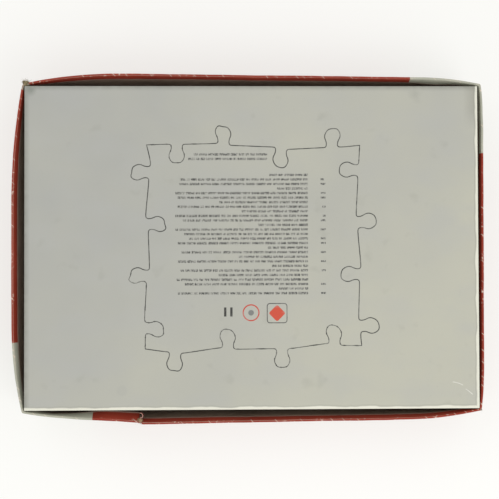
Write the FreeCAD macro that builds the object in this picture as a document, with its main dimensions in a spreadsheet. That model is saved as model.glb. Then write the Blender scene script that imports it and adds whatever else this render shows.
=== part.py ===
import FreeCAD, Part
import math
import os
import random

import Sketcher

# A boxed jigsaw puzzle, lying face down. The lid's picture face is on the surface below, the
# lid's open side is up, and the tray is pushed down into it with its plain base uppermost.
# The lid's four walls are straight where they fold and have bowed outwards at the rim.
# A sealed bag of die-cut pieces lies inside, on the lid's inner face.
#
# Millimetres, +Z up. X runs along the long side, +Y is the back, and the origin is under the
# middle of the whole box, on the surface that it lies on.

DIMENSIONS = (
    ("tray_length", 370, "tray, outside, along X"),
    ("tray_width", 263.5, "tray, outside, along Y"),
    ("tray_depth", 54, "tray, outside, from its rim to its base"),
    ("lid_depth", 53.5, "lid, outside, from its face to its rim"),
    ("board", 1.4, "greyboard of the lid and the tray"),
    ("paper", 0.25, "covering paper"),
    ("tape", 0.1, "paper tape stayed round each corner"),
    ("tape_reach", 14, "how far a corner tape runs along each wall"),
    ("turn_in", 8, "covering paper folded down inside a rim"),
    ("side_gap", 0.6, "from the tray to the lid's board, at the corners"),
    ("rest_gap", 0.3, "under what rests on the lid's inner face"),
    ("front_left_run", 100, "front rim: from its left corner to the flat middle"),
    ("front_left_bow", 9.9, "front rim: how far it bows out at the left of the middle"),
    ("front_right_run", 68, "front rim: from its right corner to the flat middle"),
    ("front_right_bow", 7.4, "front rim: how far it bows out at the right of the middle"),
    ("right_front_run", 40, "right rim: the same, from its front corner"),
    ("right_front_bow", 2.6, "right rim: the same, towards the front"),
    ("right_back_run", 40, "right rim: the same, from its back corner"),
    ("right_back_bow", 3.2, "right rim: the same, towards the back"),
    ("back_right_run", 55, "back rim: the same, from its right corner"),
    ("back_right_bow", 5.8, "back rim: the same, towards the right"),
    ("back_left_run", 78, "back rim: the same, from its left corner"),
    ("back_left_bow", 8.6, "back rim: the same, towards the left"),
    ("left_back_run", 93, "left rim: the same, from its back corner"),
    ("left_back_bow", 8.7, "left rim: the same, towards the back"),
    ("left_front_run", 72, "left rim: the same, from its front corner"),
    ("left_front_bow", 8.7, "left rim: the same, towards the front"),
    ("surround", 40, "how far a cutting slab reaches past the box"),
    ("bag_length", 312, "pillow of the bag, along X"),
    ("bag_width", 238, "pillow of the bag, along Y"),
    ("bag_round", 5, "rounding of the pillow's upright edges"),
    ("film", 0.2, "film of the bag"),
    ("seam", 16, "flat sealed strip at each end of the bag"),
    ("head_room", 0.5, "space over the top layer of pieces"),
    ("piece_columns", 20, "pieces along the finished picture"),
    ("piece_rows", 15, "pieces up the finished picture"),
    ("piece_length", 24.5, "one piece, along the picture"),
    ("piece_width", 24, "one piece, up the picture"),
    ("piece_board", 1.9, "thickness of the picture board"),
    ("layer_gap", 0.2, "space between two layers of loose pieces"),
    ("slot_columns", 8, "pieces side by side along a layer"),
    ("slot_rows", 6, "pieces side by side across a layer"),
    ("slot_pitch", 37.4, "from one loose piece's middle to the next"),
    ("layer_shift", 4, "how far each layer is shifted along and across"),
)

LID_FLOOR = "(Sizes.paper + Sizes.board)"
REST_LEVEL = f"({LID_FLOOR} + Sizes.rest_gap)"
OUTSIDE_X = "(Sizes.tray_length / 2 + Sizes.side_gap + Sizes.board)"
OUTSIDE_Y = "(Sizes.tray_width / 2 + Sizes.side_gap + Sizes.board)"
LAYERS = "ceil(Sizes.piece_columns * Sizes.piece_rows / (Sizes.slot_columns * Sizes.slot_rows))"
HEAP = f"({LAYERS} * (Sizes.piece_board + Sizes.layer_gap) + Sizes.head_room)"

# The lid's walls, anticlockwise seen from above: each wall's name, the way along it, the way
# out of it, and the names of its two ends in that order.
WALLS = (
    ("front", (1, 0), (0, -1), "left", "right"),
    ("right", (0, 1), (1, 0), "front", "back"),
    ("back", (-1, 0), (0, 1), "right", "left"),
    ("left", (0, -1), (-1, 0), "back", "front"),
)
BOW = {
    wall: f"max(Sizes.{wall}_{first}_bow; Sizes.{wall}_{last}_bow)"
    for wall, along, out, first, last in WALLS
}
# The middle of the tray, so that the middle of the whole box is at the origin.
CENTRE_X = f"({BOW['left']} - {BOW['right']}) / 2"
CENTRE_Y = f"({BOW['front']} - {BOW['back']}) / 2"

# One knob of a piece's edge, as poles along the edge and out of it, in parts of the edge.
KNOB = (
    (0, 0), (0.22, 0.03), (0.47, -0.01), (0.42, 0.09), (0.34, 0.22), (0.5, 0.27),
    (0.66, 0.22), (0.58, 0.09), (0.53, -0.01), (0.78, 0.03), (1, 0),
)  # fmt: skip
KNOB_SEED = 11
HEAP_SEED = 5

doc = FreeCAD.newDocument("BoxedJigsawPuzzle")
sheet = doc.addObject("Spreadsheet::Sheet", "Sizes")
for row, (alias, number, note) in enumerate(DIMENSIONS, start=1):
    sheet.set(f"A{row}", alias)
    sheet.set(f"B{row}", str(number))
    sheet.setAlias(f"B{row}", alias)
    sheet.set(f"C{row}", note)
doc.recompute()
sub_parts = []


def value(expression):
    """The present value of an expression on the sheet."""
    return float(sheet.evalExpression(expression))


def keep(thing, label):
    """Marks an object as one of the sub-parts, under the name that its file gets."""
    thing.Label = label
    sub_parts.append(thing)
    return thing


def place(thing, along="0", across="0", height="0"):
    """Puts an object at a place measured from the middle of the tray."""
    thing.setExpression("Placement.Base.x", f"{CENTRE_X} + {along}")
    thing.setExpression("Placement.Base.y", f"{CENTRE_Y} + {across}")
    thing.setExpression("Placement.Base.z", height)
    return thing


def block(name, length, width, low, high, along="0", across="0"):
    """An upright block centred on a place, between two heights."""
    made = doc.addObject("Part::Box", name)
    made.setExpression("Length", length)
    made.setExpression("Width", width)
    made.setExpression("Height", f"{high} - {low}")
    return place(made, f"{along} - {length} / 2", f"{across} - {width} / 2", low)


def slab(name, low, high):
    """A block wider than the whole box, which keeps or cuts what is between two heights."""
    return block(
        name, "(Sizes.tray_length + 2 * Sizes.surround)",
        "(Sizes.tray_width + 2 * Sizes.surround)", low, high,
    )  # fmt: skip


def cut(name, base, tool):
    made = doc.addObject("Part::Cut", name)
    made.Base = base
    made.Tool = tool
    return made


def common(name, base, tool):
    made = doc.addObject("Part::Common", name)
    made.Base = base
    made.Tool = tool
    return made


def fuse(name, shapes):
    made = doc.addObject("Part::MultiFuse", name)
    made.Shapes = shapes
    return made


def corner_blocks(name, reach_x, reach_y, low, high):
    """Four blocks, one round each upright corner of a box of the given half sizes."""
    size = "(2 * Sizes.tape_reach)"
    corners = []
    for side_x in (-1, 1):
        for side_y in (-1, 1):
            corners.append(
                block(f"{name}{len(corners)}", size, size, low, high,
                      f"{side_x} * {reach_x}", f"{side_y} * {reach_y}")
            )  # fmt: skip
    return fuse(name, corners)


# ---- the lid: outlines, and the solid forms lofted between them


def rim_points(offset, bowed):
    """The points of an outline, as expressions. Each wall gives its first corner, and then the
    two ends of its middle, where the rim stops bowing out and starts to come back."""
    bow_share = 1 if bowed else 0
    points = []
    for wall, along, out, first, last in WALLS:
        for end, name in ((-1, None), (-1, first), (1, last)):
            run = f"Sizes.{wall}_{name}_run" if name else "0"
            bow = f"{bow_share} * Sizes.{wall}_{name}_bow" if name else "0"
            points.append(
                tuple(
                    f"{end * along[axis]} * ({outside} + {offset} - {run})"
                    f" + {out[axis]} * ({outside} + {offset} + {bow})"
                    for axis, outside in enumerate((OUTSIDE_X, OUTSIDE_Y))
                )
            )
    return points


def bowed_run(start, end, rising, level):
    """An arc between a corner and the middle of a wall, which it meets without a kink."""
    middle, corner = (end, start) if rising else (start, end)
    run = abs(middle.x - corner.x) if level else abs(middle.y - corner.y)
    bow = corner.y - middle.y if level else corner.x - middle.x
    radius = (run * run + bow * bow) / (2 * bow)
    inwards = FreeCAD.Vector(0, radius) if level else FreeCAD.Vector(radius, 0)
    centre = middle + inwards
    first = math.atan2(start.y - centre.y, start.x - centre.x)
    last = math.atan2(end.y - centre.y, end.x - centre.x)
    if last < first:
        last += 2 * math.pi
    circle = Part.Circle(centre, FreeCAD.Vector(0, 0, 1), abs(radius))
    return Part.ArcOfCircle(circle, first, last)


def outline(name, offset, bowed):
    """A sketch of the lid in plan, straight as at its fold or bowed as at its rim."""
    sketch = doc.addObject("Sketcher::SketchObject", name)
    places = rim_points(offset, bowed)
    points = [FreeCAD.Vector(value(x), value(y)) for x, y in places]
    count = len(points)
    for index, start in enumerate(points):
        end = points[(index + 1) % count]
        wall, stretch = divmod(index, 3)
        level = wall % 2 == 0
        if bowed and stretch != 1:
            rising = stretch == 0
            sketch.addGeometry(bowed_run(start, end, rising, level))
            square_to_wall = "Vertical" if level else "Horizontal"
            meeting = 2 if rising else 1
            sketch.addConstraint(Sketcher.Constraint(square_to_wall, index, 3, index, meeting))
        else:
            sketch.addGeometry(Part.LineSegment(start, end))
    for index, (x, y) in enumerate(places):
        follower = (index + 1) % count
        sketch.addConstraint(Sketcher.Constraint("Coincident", index, 2, follower, 1))
        for kind, number, expression in (
            ("DistanceX", points[index].x, x),
            ("DistanceY", points[index].y, y),
        ):
            added = sketch.addConstraint(Sketcher.Constraint(kind, -1, 1, index, 1, number))
            sketch.renameConstraint(added, f"{kind}{index}")
            sketch.setExpression(f"Constraints.{kind}{index}", expression)
    return sketch


def lid_form(name, offset):
    """The lid's whole outer form, at an offset from the outside of its board."""
    fold = place(outline(f"{name}Fold", offset, False))
    rim = place(outline(f"{name}Rim", offset, True), height="Sizes.lid_depth")
    made = doc.addObject("Part::Loft", name)
    made.Sections = [fold, rim]
    made.Solid = True
    made.Ruled = True
    return made


def make_lid():
    rim = "(Sizes.lid_depth - Sizes.paper)"
    over_paper = lid_form("LidOverPaper", "Sizes.paper")
    over_tape = lid_form("LidOverTape", "Sizes.tape")
    over_board = lid_form("LidOverBoard", "0")
    inside_board = lid_form("LidInsideBoard", "-Sizes.board")
    inside_paper = lid_form("LidInsidePaper", "-(Sizes.board + Sizes.paper)")

    solid = common("LidBoardSolid", over_board, slab("LidBoardSlab", "Sizes.paper", rim))
    hollow = common(
        "LidHollow", inside_board, slab("LidHollowSlab", LID_FLOOR, "(2 * Sizes.lid_depth)")
    )
    board = keep(cut("LidBoard", solid, hollow), "lid_board")

    tape_skin = cut("LidTapeSkin", over_tape, over_board)
    corners = corner_blocks("LidCorners", OUTSIDE_X, OUTSIDE_Y, LID_FLOOR, rim)
    stays = keep(common("LidCornerStays", tape_skin, corners), "lid_corner_stays")

    face = slab("LidFaceSlab", "0", "Sizes.paper")
    keep(common("LidFaceSheet", over_paper, face), "lid_face_sheet")

    sides = common(
        "LidSideSolid", over_paper, slab("LidSideSlab", "Sizes.paper", "(2 * Sizes.lid_depth)")
    )
    below_turn_in = common(
        "LidBelowTurnIn", inside_board,
        slab("LidTurnInSlab", "0", "(Sizes.lid_depth - Sizes.turn_in)"),
    )  # fmt: skip
    taken = fuse("LidSideTaken", [board, stays, inside_paper, below_turn_in])
    keep(cut("LidSideWrap", sides, taken), "lid_side_wrap")


# ---- the tray, upside down: its base is uppermost and its rim is on the lid's inner face


def origin_plane(body, role):
    return next(f for f in body.Origin.OriginFeatures if f.Role == role)


def rectangle(body, name, length, width, height):
    """A centred rectangle on a level plane of a body."""
    sketch = body.newObject("Sketcher::SketchObject", name)
    sketch.AttachmentSupport = [(origin_plane(body, "XY_Plane"), "")]
    sketch.MapMode = "FlatFace"
    sketch.setExpression("AttachmentOffset.Base.z", height)
    half_x = value(length) / 2
    half_y = value(width) / 2
    corners = [(-half_x, -half_y), (half_x, -half_y), (half_x, half_y), (-half_x, half_y)]
    points = [FreeCAD.Vector(x, y) for x, y in corners]
    for index in range(4):
        sketch.addGeometry(Part.LineSegment(points[index], points[(index + 1) % 4]))
    for index in range(4):
        sketch.addConstraint(Sketcher.Constraint("Coincident", index, 2, (index + 1) % 4, 1))
        direction = "Horizontal" if index % 2 == 0 else "Vertical"
        sketch.addConstraint(Sketcher.Constraint(direction, index))
    sketch.addConstraint(Sketcher.Constraint("Symmetric", 0, 1, 1, 2, -1, 1))
    for kind, index, number, expression in (
        ("DistanceX", 0, 2 * half_x, length),
        ("DistanceY", 1, 2 * half_y, width),
    ):
        added = sketch.addConstraint(Sketcher.Constraint(kind, index, 1, index, 2, number))
        sketch.renameConstraint(added, f"side{index}")
        sketch.setExpression(f"Constraints.side{index}", expression)
    return sketch


def pad(body, name, sketch, length):
    made = body.newObject("PartDesign::Pad", name)
    made.Profile = sketch
    made.setExpression("Length", length)
    return made


def pocket_upwards(body, name, sketch, length):
    """A pocket that goes up from its sketch, checked to take something away."""
    doc.recompute()
    before = body.Shape.Volume
    made = body.newObject("PartDesign::Pocket", name)
    made.Profile = sketch
    made.Reversed = True
    made.setExpression("Length", length)
    doc.recompute()
    if body.Shape.Volume >= before:
        raise RuntimeError(f"{name} took nothing away")
    return made


def make_tray_board(length, width):
    body = doc.addObject("PartDesign::Body", "TrayBoard")
    outside = rectangle(body, "TrayBoardOutside", length, width, "Sizes.paper")
    pad(body, "TrayBoardPad", outside, "Sizes.tray_depth - 2 * Sizes.paper")
    inside = rectangle(
        body, "TrayBoardInside",
        f"{length} - 2 * Sizes.board", f"{width} - 2 * Sizes.board", "Sizes.paper",
    )  # fmt: skip
    hollow = "Sizes.tray_depth - 2 * Sizes.paper - Sizes.board"
    pocket_upwards(body, "TrayBoardPocket", inside, hollow)
    return keep(place(body, height=REST_LEVEL), "tray_board")


def make_tray():
    length = "(Sizes.tray_length - 2 * Sizes.paper)"
    width = "(Sizes.tray_width - 2 * Sizes.paper)"
    low = f"({REST_LEVEL} + Sizes.paper)"
    high = f"({REST_LEVEL} + Sizes.tray_depth - Sizes.paper)"
    board = make_tray_board(length, width)

    over_tape = block(
        "TrayOverTape", f"({length} + 2 * Sizes.tape)", f"({width} + 2 * Sizes.tape)", low, high
    )
    over_board = block("TrayOverBoard", length, width, low, high)
    tape_skin = cut("TrayTapeSkin", over_tape, over_board)
    tape_high = f"({high} - Sizes.board)"
    corners = corner_blocks("TrayCorners", f"{length} / 2", f"{width} / 2", low, tape_high)
    stays = keep(common("TrayCornerStays", tape_skin, corners), "tray_corner_stays")

    covered = block(
        "TrayCovered", "Sizes.tray_length", "Sizes.tray_width",
        REST_LEVEL, f"({REST_LEVEL} + Sizes.tray_depth)",
    )  # fmt: skip
    clear_length = f"({length} - 2 * Sizes.board)"
    clear_width = f"({width} - 2 * Sizes.board)"
    above_turn_in = block(
        "TrayAboveTurnIn", clear_length, clear_width,
        f"({REST_LEVEL} + Sizes.turn_in)", f"({high} - Sizes.board)",
    )  # fmt: skip
    inside_paper = block(
        "TrayInsidePaper", f"({clear_length} - 2 * Sizes.paper)",
        f"({clear_width} - 2 * Sizes.paper)", "0", f"({high} - Sizes.board)",
    )  # fmt: skip
    taken = fuse("TrayWrapTaken", [board, stays, above_turn_in, inside_paper])
    keep(cut("TrayWrap", covered, taken), "tray_wrap")


# ---- the bag, a sealed pillow of film with a flat seam at each end


def face_number(shape, wanted):
    return next(n for n, face in enumerate(shape.Faces, start=1) if face.isSame(wanted))


def make_bag():
    body = doc.addObject("PartDesign::Body", "PieceBag")
    plan = rectangle(body, "PillowOutline", "Sizes.bag_length", "Sizes.bag_width", "0")
    pillow = pad(body, "Pillow", plan, f"{HEAP} + 2 * Sizes.film")
    doc.recompute()
    upright = [
        f"Edge{number}"
        for number, edge in enumerate(pillow.Shape.Edges, start=1)
        if edge.BoundBox.ZLength > edge.BoundBox.XLength + edge.BoundBox.YLength
    ]
    rounding = body.newObject("PartDesign::Fillet", "PillowRounding")
    rounding.Base = (pillow, upright)
    rounding.setExpression("Radius", "Sizes.bag_round")
    doc.recompute()
    underside = min(rounding.Shape.Faces, key=lambda face: face.CenterOfMass.z)
    film = body.newObject("PartDesign::Thickness", "PillowFilm")
    film.Base = (rounding, [f"Face{face_number(rounding.Shape, underside)}"])
    film.Reversed = True
    film.setExpression("Value", "Sizes.film")
    bottom = rectangle(
        body, "BottomOutline", "Sizes.bag_length + 2 * Sizes.seam", "Sizes.bag_width", "0"
    )
    pad(body, "BottomFilm", bottom, "Sizes.film")
    return keep(place(body, height=REST_LEVEL), "piece_bag")


# ---- the pieces: a die-cut grid, and the same pieces lying loose in layers


def knob_edge(start, end, reach, drift):
    """One edge of a piece: a straight run where reach is 0, and otherwise a knob, whose sign says
    to which side it goes and whose drift moves it along the edge."""
    if reach == 0:
        return Part.LineSegment(start, end).toShape()
    along = end - start
    outwards = FreeCAD.Vector(-along.y, along.x)
    poles = []
    for share, out in KNOB:
        moved = share + drift * (1 - abs(2 * share - 1))
        poles.append(start + along * moved + outwards * (reach * out))
    curve = Part.BSplineCurve()
    curve.buildFromPoles(poles, False, 3)
    return curve.toShape()


def cut_edges(columns, rows):
    """How each inner edge of the grid is cut: the knob's reach and its drift along the edge."""
    luck = random.Random(KNOB_SEED)
    cuts = {}
    for column in range(columns + 1):
        for row in range(rows + 1):
            for level in (True, False):
                border = row in (0, rows) if level else column in (0, columns)
                reach = 0 if border else luck.choice((-1, 1)) * luck.uniform(0.92, 1.04)
                cuts[column, row, level] = (reach, luck.uniform(-0.05, 0.05))
    return cuts


def piece_solid(column, row, cuts):
    """One piece of the grid, with its middle at the origin and its underside at height 0."""
    half_x = value("Sizes.piece_length") / 2
    half_y = value("Sizes.piece_width") / 2
    front_left = FreeCAD.Vector(-half_x, -half_y)
    front_right = FreeCAD.Vector(half_x, -half_y)
    back_left = FreeCAD.Vector(-half_x, half_y)
    back_right = FreeCAD.Vector(half_x, half_y)
    outline_edges = (
        knob_edge(front_left, front_right, *cuts[column, row, True]),
        knob_edge(front_right, back_right, *cuts[column + 1, row, False]),
        knob_edge(back_left, back_right, *cuts[column, row + 1, True]),
        knob_edge(front_left, back_left, *cuts[column, row, False]),
    )
    face = Part.Face(Part.Wire(Part.__sortEdges__(list(outline_edges))))
    return face.extrude(FreeCAD.Vector(0, 0, value("Sizes.piece_board")))


def layer_slots(layer):
    """The places of one layer of loose pieces, the middle ones first."""
    columns = int(value("Sizes.slot_columns"))
    rows = int(value("Sizes.slot_rows"))
    pitch = value("Sizes.slot_pitch")
    shift = value("Sizes.layer_shift") * (1 if layer % 2 else -1)
    height = layer * value("Sizes.piece_board + Sizes.layer_gap") + value("Sizes.layer_gap")
    slots = []
    for column in range(columns):
        for row in range(rows):
            x = (column - (columns - 1) / 2) * pitch + shift
            y = (row - (rows - 1) / 2) * pitch + shift
            slots.append(FreeCAD.Vector(x, y, height))
    return sorted(slots, key=lambda slot: round(math.hypot(slot.x, slot.y), 6))


def make_pieces():
    columns = int(value("Sizes.piece_columns"))
    rows = int(value("Sizes.piece_rows"))
    cuts = cut_edges(columns, rows)
    luck = random.Random(HEAP_SEED)
    pieces = [(column, row) for column in range(columns) for row in range(rows)]
    luck.shuffle(pieces)
    layers = int(value(LAYERS))
    slots = [(layer, slot) for layer in range(layers) for slot in layer_slots(layer)]
    thickness = value("Sizes.piece_board")
    groups = {}
    for (column, row), (layer, slot) in zip(pieces, slots):
        ends = (column in (0, columns - 1)) + (row in (0, rows - 1))
        label = ("", "edge_pieces", "corner_pieces")[ends] or f"inner_pieces_layer_{layer + 1}"
        solid = piece_solid(column, row, cuts)
        if luck.random() < 0.5:
            solid.rotate(FreeCAD.Vector(0, 0, thickness / 2), FreeCAD.Vector(1, 0, 0), 180)
        solid.rotate(FreeCAD.Vector(), FreeCAD.Vector(0, 0, 1), luck.uniform(0, 360))
        solid.translate(slot)
        groups.setdefault(label, []).append(solid)
    for label in sorted(groups):
        made = doc.addObject("Part::Feature", label.title().replace("_", ""))
        made.Shape = Part.makeCompound(groups[label])
        place(made, height=f"{REST_LEVEL} + Sizes.film")
        keep(made, label)


def check_and_write():
    doc.recompute()
    for thing in doc.Objects:
        if "Invalid" in thing.State or "Error" in thing.State:
            raise RuntimeError(f"{thing.Label} failed: {thing.State}")
    os.makedirs("parts", exist_ok=True)
    for thing in sub_parts:
        if thing.Shape.isNull() or not thing.Shape.isValid():
            raise RuntimeError(f"{thing.Label} has no valid shape")
    for thing in sub_parts:
        thing.Shape.exportStep(f"parts/{thing.Label}.step")
        print(f"{thing.Label}: {len(thing.Shape.Solids)} solids, {thing.Shape.Volume:.0f} mm3")


make_lid()
make_tray()
make_bag()
make_pieces()
check_and_write()
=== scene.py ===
import math
import random
from contextlib import contextmanager

import bmesh
import bpy
from mathutils import Matrix, Vector, noise


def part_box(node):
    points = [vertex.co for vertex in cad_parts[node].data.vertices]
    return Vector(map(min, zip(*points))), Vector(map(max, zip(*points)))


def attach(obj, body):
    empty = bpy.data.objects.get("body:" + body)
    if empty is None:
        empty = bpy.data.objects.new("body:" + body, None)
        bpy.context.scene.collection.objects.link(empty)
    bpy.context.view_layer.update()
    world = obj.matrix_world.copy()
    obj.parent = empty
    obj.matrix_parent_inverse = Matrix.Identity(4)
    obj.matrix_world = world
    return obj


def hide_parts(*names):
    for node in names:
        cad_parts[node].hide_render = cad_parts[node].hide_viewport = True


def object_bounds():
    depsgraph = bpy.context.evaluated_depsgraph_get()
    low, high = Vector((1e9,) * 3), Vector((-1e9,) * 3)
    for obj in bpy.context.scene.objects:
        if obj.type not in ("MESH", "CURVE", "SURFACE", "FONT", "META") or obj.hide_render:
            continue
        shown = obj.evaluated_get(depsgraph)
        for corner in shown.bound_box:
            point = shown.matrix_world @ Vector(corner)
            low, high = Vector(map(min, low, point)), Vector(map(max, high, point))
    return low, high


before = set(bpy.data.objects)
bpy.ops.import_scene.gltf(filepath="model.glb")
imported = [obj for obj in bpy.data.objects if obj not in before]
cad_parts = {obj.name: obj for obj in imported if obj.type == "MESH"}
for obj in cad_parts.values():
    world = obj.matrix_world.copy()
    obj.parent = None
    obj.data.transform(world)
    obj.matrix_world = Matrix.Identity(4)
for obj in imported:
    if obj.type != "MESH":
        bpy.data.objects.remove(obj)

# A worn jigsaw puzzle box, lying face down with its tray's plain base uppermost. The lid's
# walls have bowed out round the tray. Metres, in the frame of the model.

MM = 0.001
cad_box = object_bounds()

# ---- sizes, from the frame and from the boards and papers that the box is made of

BOARD = 1.4 * MM
PAPER = 0.25 * MM
SIDE_GAP = 0.6 * MM
TURN_IN = 8 * MM
TRAY_LOW, TRAY_HIGH = (Vector(corner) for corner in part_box("tray_wrap"))
LID_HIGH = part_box("lid_side_wrap")[1][2]
MIDDLE = (TRAY_LOW + TRAY_HIGH) / 2
TRAY_REACH = (TRAY_HIGH - TRAY_LOW) / 2
LID_REACH = TRAY_REACH + Vector((1, 1, 0)) * (SIDE_GAP + BOARD + PAPER)
BOARD_REACH = LID_REACH - Vector((1, 1, 0)) * PAPER
BASE_TOP = TRAY_HIGH.z
RIM_WIDTH = BOARD + 2 * PAPER
# How far each fold is rounded.
BOARD_FOLD = 1.15 * BOARD
WRAP_FOLD = 1.1 * MM
TRAY_FOLD = 0.42 * MM
RIM_ROUND = 0.75 * MM

# How each wall's rim has bowed out: at its left or front end, and at its right or back end,
# how far from the corner the rim is still curving, and how far out it has come by there.
RIM_BOW = {
    "front": ((100, 9.9), (68, 7.4)),
    "back": ((78, 8.6), (55, 5.8)),
    "left": ((72, 8.7), (93, 8.7)),
    "right": ((40, 2.6), (40, 3.2)),
}
# The split in the front wall, where the board has broken and the wall left of it gone slack.
SPLIT_X = -88 * MM
SPLIT_DEPTH = 26 * MM
SPLIT_GAP = 1.6 * MM
SPLIT_REACH = 6 * MM
SPLIT_STEP = 1.3 * MM
SLACK = 0.24
# How far the right wall's rim leans out at its back end, where the tray has pushed it.
BACK_END_LEAN = 1.3 * MM
# The pale printed corners of the lid, the torn one, and the tape round them all.
PALE_CORNER = 57 * MM
TORN_REACH = 5.5 * MM
TAPE_REACH = 14 * MM
TAPE = 0.1 * MM


def settle():
    """Leaves edit mode and selects nothing."""
    if bpy.context.object and bpy.context.object.mode != "OBJECT":
        bpy.ops.object.mode_set(mode="OBJECT")
    bpy.ops.object.select_all(action="DESELECT")


settle()


# ---- modelling by hand: primitives, picks, cuts and finishing


def name_piece(name):
    piece = bpy.context.object
    piece.name = name
    piece.data.name = name
    bpy.ops.object.transform_apply(location=True, rotation=True, scale=True)
    return piece


def start_box(name, low, high):
    """A box between two corners."""
    settle()
    middle = (Vector(low) + Vector(high)) / 2
    size = Vector(high) - Vector(low)
    bpy.ops.mesh.primitive_cube_add(size=1, location=middle, scale=size)
    return name_piece(name)


def take_up(piece):
    """Makes a piece the only selected one, and the active one."""
    settle()
    piece.select_set(True)
    bpy.context.view_layer.objects.active = piece


@contextmanager
def editing(piece):
    take_up(piece)
    bpy.ops.object.mode_set(mode="EDIT")
    yield
    bpy.ops.object.mode_set(mode="OBJECT")


def pick(piece, kind, test):
    """In edit mode, selects just the verts, edges or faces that pass a test."""
    modes = {"verts": "VERT", "edges": "EDGE", "faces": "FACE"}
    bpy.ops.mesh.select_all(action="DESELECT")
    bpy.ops.mesh.select_mode(type=modes[kind])
    mesh = bmesh.from_edit_mesh(piece.data)
    for item in getattr(mesh, kind):
        if test(item):
            item.select_set(True)
    mesh.select_flush_mode()
    bmesh.update_edit_mesh(piece.data)


def middle_of(item):
    return sum((vert.co for vert in item.verts), Vector()) / len(item.verts)


def runs_along(axis, shortest):
    """A test for the edges along an axis that are longer than a length."""

    def test(edge):
        along = edge.verts[1].co - edge.verts[0].co
        return abs(along[axis]) > shortest and abs(along[axis]) > 0.95 * along.length

    return test


def bevel(offset, segments=3):
    bpy.ops.mesh.bevel(offset=offset, segments=segments, affect="EDGES")


def open_and_bevel(piece, open_side, offset):
    """Takes off the faces of a box that pass a test, and rounds its folds."""
    pick(piece, "faces", open_side)
    bpy.ops.mesh.delete(type="ONLY_FACE")
    pick(piece, "edges", lambda edge: len(edge.link_faces) == 2)
    bevel(offset)


def turn_in_rim(piece, reach, level, fold):
    """Carries the paper at an open rim over the board's edge, and a fold's length behind it."""
    pick(piece, "edges", lambda edge: edge.is_boundary)
    bpy.ops.mesh.extrude_region()
    narrower = [1 - RIM_WIDTH / along for along in reach.xy]
    bpy.ops.transform.resize(
        value=(*narrower, 1), center_override=(MIDDLE.x, MIDDLE.y, level)
    )
    bpy.ops.mesh.extrude_region()
    bpy.ops.transform.translate(value=(0, 0, fold))


def cut_along(piece, axis, cuts, shortest=8 * MM):
    """Divides every long edge that runs along an axis, and the faces between such edges."""
    pick(piece, "edges", runs_along(axis, shortest))
    bpy.ops.mesh.subdivide(number_cuts=cuts)


def finish_with(piece, kind, **settings):
    """Adds a modifier and applies it."""
    take_up(piece)
    modifier = piece.modifiers.new(kind.title(), kind)
    for name, value in settings.items():
        setattr(modifier, name, value)
    bpy.ops.object.modifier_apply(modifier=modifier.name)


def smooth(piece, degrees=35):
    take_up(piece)
    bpy.ops.object.shade_smooth_by_angle(angle=math.radians(degrees))


def hand_over(piece, body, slot, material, *nodes):
    """Gives a finished piece its material, hangs it from its body, and hides the nodes of the
    frame that it stands for.
    """
    piece.data.materials.clear()
    piece.data.materials.append(material)
    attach(piece, body)
    if nodes:
        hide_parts(*nodes)
    return piece


def soft_step(low, high, value):
    """0 at low and 1 at high, with a smooth change between. Low may be above high."""
    share = min(1, max(0, (value - low) / (high - low)))
    return share * share * (3 - 2 * share)


# ---- materials


def add(tree, kind, inputs=None, **settings):
    """A node of a kind, with its settings, and its inputs given as values or as outputs."""
    node = tree.nodes.new("ShaderNode" + kind)
    for name, value in settings.items():
        setattr(node, name, value)
    for key, value in (inputs or {}).items():
        if isinstance(value, bpy.types.NodeSocket):
            tree.links.new(value, node.inputs[key])
        else:
            node.inputs[key].default_value = value
    return node


def rgba(colour):
    return (*colour, 1)


def maths(tree, operation, first, second=0.0, clamp=False):
    values = {0: first, 1: second}
    return add(tree, "Math", values, operation=operation, use_clamp=clamp).outputs[0]


def times(tree, first, second):
    return maths(tree, "MULTIPLY", first, second)


def spread(tree, value, low, high, to_low=0.0, to_high=1.0):
    """Maps a value from one range to another, held at the ends."""
    inputs = {"Value": value, "From Min": low, "From Max": high, "To Min": to_low,
              "To Max": to_high}  # fmt: skip
    return add(tree, "MapRange", inputs).outputs["Result"]


def mix(tree, share, first, second, blend="MIX"):
    node = add(tree, "Mix", data_type="RGBA", blend_type=blend)
    for key, value in ((0, share), (6, first), (7, second)):
        if isinstance(value, bpy.types.NodeSocket):
            tree.links.new(value, node.inputs[key])
        else:
            node.inputs[key].default_value = rgba(value) if key else value
    return node.outputs[2]


def grain(tree, place, scale, detail=2.0, roughness=0.5, distortion=0.0):
    inputs = {"Vector": place, "Scale": scale, "Detail": detail, "Roughness": roughness,
              "Distortion": distortion}  # fmt: skip
    return add(tree, "TexNoise", inputs).outputs[0]


def stretched(tree, place, scale):
    """The place, scaled differently along each axis, for streaks and fibres."""
    return add(tree, "Mapping", {"Vector": place, "Scale": scale}).outputs[0]


def start_material(name, roughness=0.6, specular=0.35):
    material = bpy.data.materials.new(name)
    material.use_nodes = True
    tree = material.node_tree
    shader = next(node for node in tree.nodes if node.type == "BSDF_PRINCIPLED")
    shader.inputs["Roughness"].default_value = roughness
    shader.inputs["Specular IOR Level"].default_value = specular
    place = add(tree, "TexCoord").outputs["Object"]
    return material, tree, shader, place


def set_bump(tree, shader, height, distance, strength=0.6):
    inputs = {"Height": height, "Distance": distance, "Strength": strength}
    tree.links.new(add(tree, "Bump", inputs).outputs[0], shader.inputs["Normal"])


def set_colour(tree, shader, colour):
    tree.links.new(colour, shader.inputs["Base Color"])


def near_edge(tree, place, axis, edge, width):
    """1 at an edge of the tray and beyond it, and 0 from a width inside it."""
    along = add(tree, "SeparateXYZ", {"Vector": place}).outputs[axis]
    inside = edge - math.copysign(width, edge)
    return spread(tree, along, inside, edge)


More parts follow.
